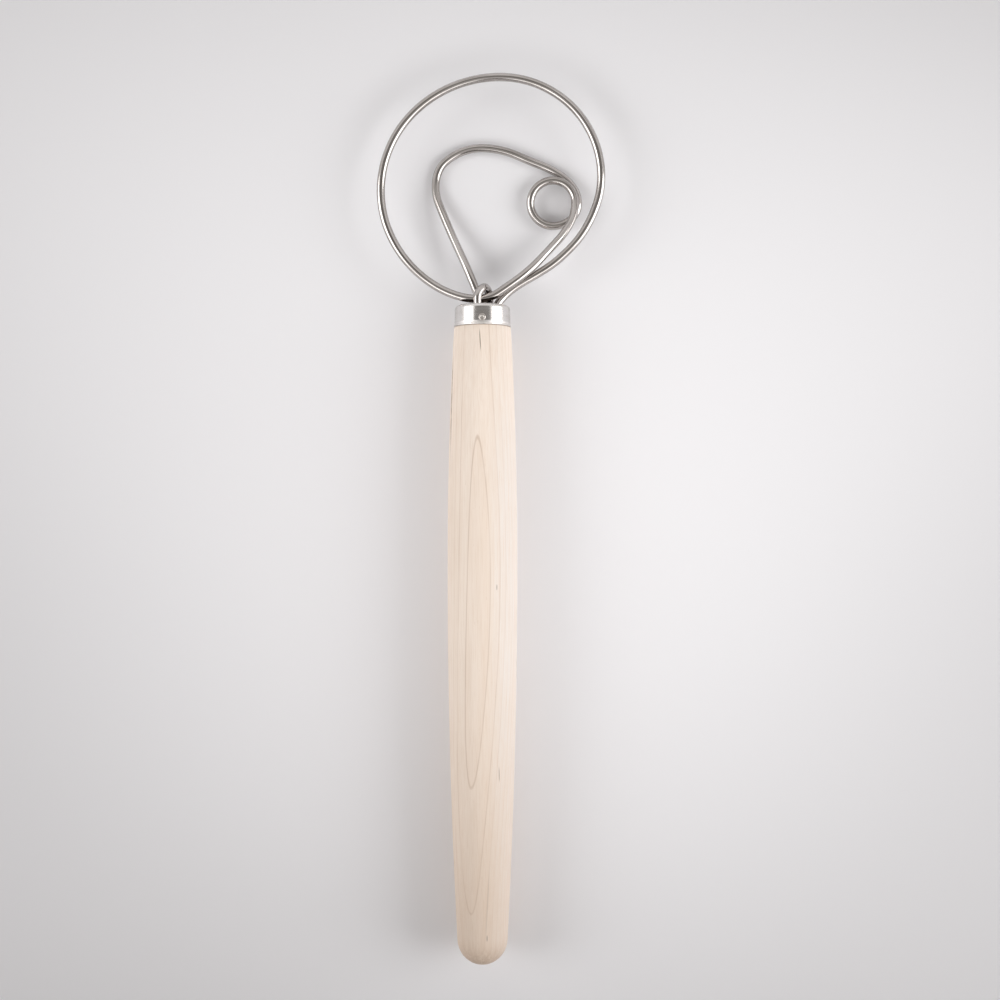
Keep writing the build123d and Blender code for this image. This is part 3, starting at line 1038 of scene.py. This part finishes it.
def maple():
    """Pale bare wood, worked out in millimetres from the middle of the mouth."""
    material, tree, shader = new_material("handle_wood")
    coordinates = add(tree, "ShaderNodeTexCoord").outputs["Object"]
    scale = (1 / MM, 1 / MM, 1 / MM)
    settings = {"Vector": coordinates, "Location": tuple(-mouth / MM), "Scale": scale}
    place = add(tree, "ShaderNodeMapping", settings).outputs[0]
    line, late_wood = growth_rings(tree, place)
    fibre = noise(tree, place, FIBRE_STRETCH, 5.0)
    colour = sawn_colour_and_sheen(tree, place, fibre, line, late_wood)
    colour = shaded_colour(tree, place, fibre, colour)
    colour = flawed_colour(tree, place, colour)
    relief = calculate(tree, "SUBTRACT", fibre, product(tree, line, 0.4))
    roughness = smooth_step(tree, fibre, 0.3, 0.7, 0.52, 0.66)
    dress(tree, shader, colour, roughness, relief, strength=0.25, depth=0.00004)
    shader.inputs["Specular IOR Level"].default_value = 0.4
    return material


wood_material = maple()
print("nodes of the wood", len(wood_material.node_tree.nodes))

# %% [markdown]
# The handle's outline has a tenon inside the ferrule, a shoulder under it, a neck that swells
# to the belly, a slow taper and a round tip. The two curves of the belly are arcs so large
# that they look almost straight, and the taper's arc runs into the tip without a corner.

# %% Outline of the handle
HANDLE_LENGTH = 224.9
NECK_RADIUS = 9.7
BELLY_PLACE = 88.0
TIP_RADIUS = 8.6
FACE_CHAMFER = 0.4
NECK_EDGE = 0.3
TENON_CLEARANCE = 0.05
BORE_CLEARANCE = 0.05
BORE_END_CLEARANCE = 0.5
CURVE_STEPS = 48
TIP_STEPS = 24
BORE_SIDES = 48
BORE_START = 1.0

inside = FERRULE_WALL + TENON_CLEARANCE
face_radius = FERRULE_TOP_RADIUS + wall_slope * FACE_RECESS - inside
tenon_radius = FERRULE_BOTTOM_RADIUS - inside
shoulder = -FERRULE_LENGTH - SEAT_CLEARANCE
neck_run = BELLY_PLACE + shoulder
neck_drop = BELLY_RADIUS - NECK_RADIUS
neck_arc = (neck_run**2 + neck_drop**2) / (2 * neck_drop)
tip_centre = TIP_RADIUS - HANDLE_LENGTH
taper_run = -BELLY_PLACE - tip_centre
taper_arc = (BELLY_RADIUS**2 + taper_run**2 - TIP_RADIUS**2) / (2 * (BELLY_RADIUS - TIP_RADIUS))
taper_turn = math.degrees(math.asin(taper_run / (taper_arc - TIP_RADIUS)))
neck_turn = math.degrees(math.asin(neck_run / neck_arc))
edge_turn = math.degrees(NECK_EDGE / neck_arc)

neck_start = neck_turn - edge_turn
neck_centre = BELLY_RADIUS - neck_arc
taper_centre = BELLY_RADIUS - taper_arc

handle_outline = [
    (0, -FACE_RECESS),
    (face_radius - FACE_CHAMFER, -FACE_RECESS),
    (face_radius, -FACE_RECESS - FACE_CHAMFER),
    (tenon_radius, shoulder),
]
handle_outline += arc_outline(NECK_RADIUS - NECK_EDGE, shoulder - NECK_EDGE, NECK_EDGE, 90, 20, 5)
handle_outline += arc_outline(neck_centre, -BELLY_PLACE, neck_arc, neck_start, 0, CURVE_STEPS)
handle_outline += arc_outline(taper_centre, -BELLY_PLACE, taper_arc, 0, -taper_turn, CURVE_STEPS)[1:]
handle_outline += arc_outline(0, tip_centre, TIP_RADIUS, -taper_turn, -90, TIP_STEPS)[1:-1]
handle_outline += [(0, -HANDLE_LENGTH)]
print("handle outline points", len(handle_outline))
print("radii of the neck's and the taper's arc", round(neck_arc), round(taper_arc))

# %% [markdown]
# Two holes are bored into the end of the wood for the wire, each a little wider and deeper
# than the wire in it. They are cut with a Boolean modifier, whose result is kept as a plain
# mesh like the wire's. The rods that cut them start above the wood, so the cut is clean.

# %% Make the handle
bore_radius = wire_radius + BORE_CLEARANCE
bore_end = -LEG_LENGTH - BORE_END_CLEARANCE
bore_outline = [(0, BORE_START), (bore_radius, BORE_START), (bore_radius, bore_end), (0, bore_end)]


def bore_round(leg):
    """The rod that is cut out of the wood round one end of the wire."""
    return turned("bore", bore_outline, BORE_SIDES, lambda x, z, y: at(x + leg.x, y, z + leg.z))


handle_holder = turned("handle_outline", handle_outline, TURNED_SIDES, along_handle)
bore_holders = []
for leg in (stations[0][0], stations[-1][0]):
    bore = bore_round(leg)
    cut = handle_holder.modifiers.new("bore", "BOOLEAN")
    cut.operation = "DIFFERENCE"
    cut.solver = "EXACT"
    cut.object = bore
    bore_holders.append(bore)
handle = keep_result("turned_handle", handle_holder, wood_material, "handle")
for bore in bore_holders:
    bpy.data.objects.remove(bore)

# %% [markdown]
# Last comes the setting of the picture.

# %% Finish
bpy.context.scene.view_settings.view_transform = "Standard"
print("pieces", [piece.name for piece in (wire, ferrule, nail, handle)])
